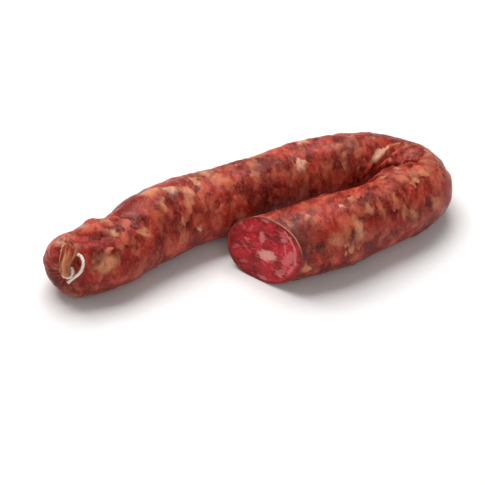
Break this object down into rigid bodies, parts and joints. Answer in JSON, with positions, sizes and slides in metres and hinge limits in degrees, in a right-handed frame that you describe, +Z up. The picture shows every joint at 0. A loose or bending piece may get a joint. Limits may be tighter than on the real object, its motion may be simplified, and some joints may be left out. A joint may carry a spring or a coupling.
{
  "type": "cured sausage",
  "caption": "Cured pork sausage bent back on itself in a horseshoe, one end tied with string and the other end cut.",
  "frame": {"origin": "middle of the bounding box's underside, on the surface that the sausage lies on", "axes": "+Z up, +X along the longest side towards the bend, +Y across the two legs towards the long back leg; the cut end and the tied gather face -Y"},
  "size_m": [0.2072, 0.1052, 0.0387],
  "materials": {
    "gut_casing": "satin",
    "cured_meat": "satin",
    "cotton_string": "matte"
  },
  "bodies": {
    "root": {"casing": "gut_casing", "filling": "cured_meat", "tie_string": "cotton_string"}
  },
  "joints": []
}
